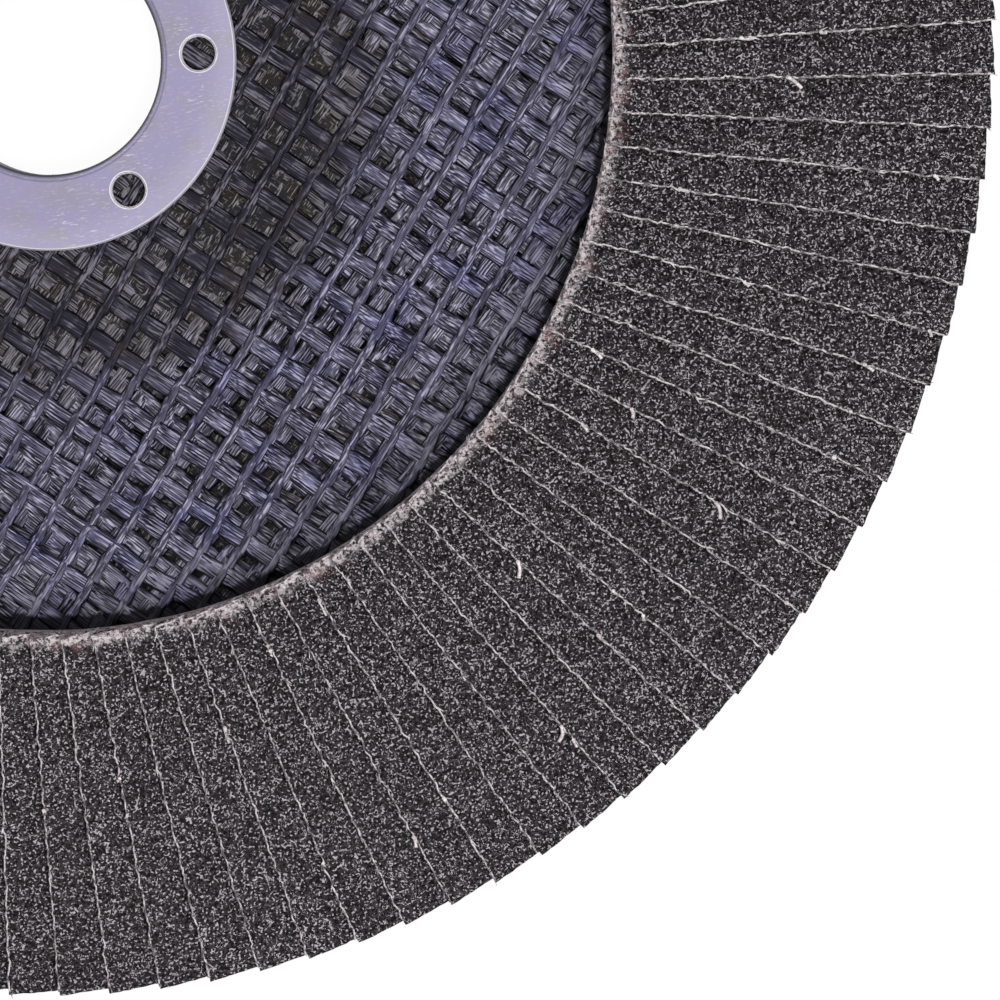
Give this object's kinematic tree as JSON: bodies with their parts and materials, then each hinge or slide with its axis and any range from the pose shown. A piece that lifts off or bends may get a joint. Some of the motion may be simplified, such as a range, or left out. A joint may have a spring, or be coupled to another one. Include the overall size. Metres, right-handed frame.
{
  "type": "flap disc",
  "caption": "Flap disc: overlapping abrasive-cloth flaps bonded around a dished glass-fibre backing plate, with a metal ring in its bore.",
  "frame": {"origin": "on the bore's axis, in the plane of the hub's back face, which is the face it lies on", "axes": "+Z along the bore's axis, out of the abrasive face; +X is any radius, with the first flap's free edge 4.87 degrees clockwise of it"},
  "size_m": [0.1804, 0.1804, 0.0151],
  "materials": {
    "laminate": "woven glass fibre in dark resin, faintly blue",
    "ring_metal": "plated sheet steel with a fine brushed grain",
    "adhesive": "hard dark resin adhesive",
    "abrasive_cloth": "charcoal abrasive grain on cloth, with pale frayed cut edges"
  },
  "bodies": {
    "root": {"backing_plate": "laminate", "hub_ring": "ring_metal", "adhesive_bed": "adhesive", "flaps_01": "abrasive_cloth", "flaps_02": "abrasive_cloth", "flaps_03": "abrasive_cloth", "flaps_04": "abrasive_cloth", "flaps_05": "abrasive_cloth", "flaps_06": "abrasive_cloth", "flaps_07": "abrasive_cloth", "flaps_08": "abrasive_cloth", "flaps_09": "abrasive_cloth", "flaps_10": "abrasive_cloth", "flaps_11": "abrasive_cloth", "flaps_12": "abrasive_cloth", "flaps_13": "abrasive_cloth", "flaps_14": "abrasive_cloth", "flaps_15": "abrasive_cloth", "flaps_16": "abrasive_cloth", "flaps_17": "abrasive_cloth", "flaps_18": "abrasive_cloth", "flaps_19": "abrasive_cloth", "flaps_20": "abrasive_cloth", "flaps_21": "abrasive_cloth", "flaps_22": "abrasive_cloth", "flaps_23": "abrasive_cloth"}
  },
  "joints": []
}
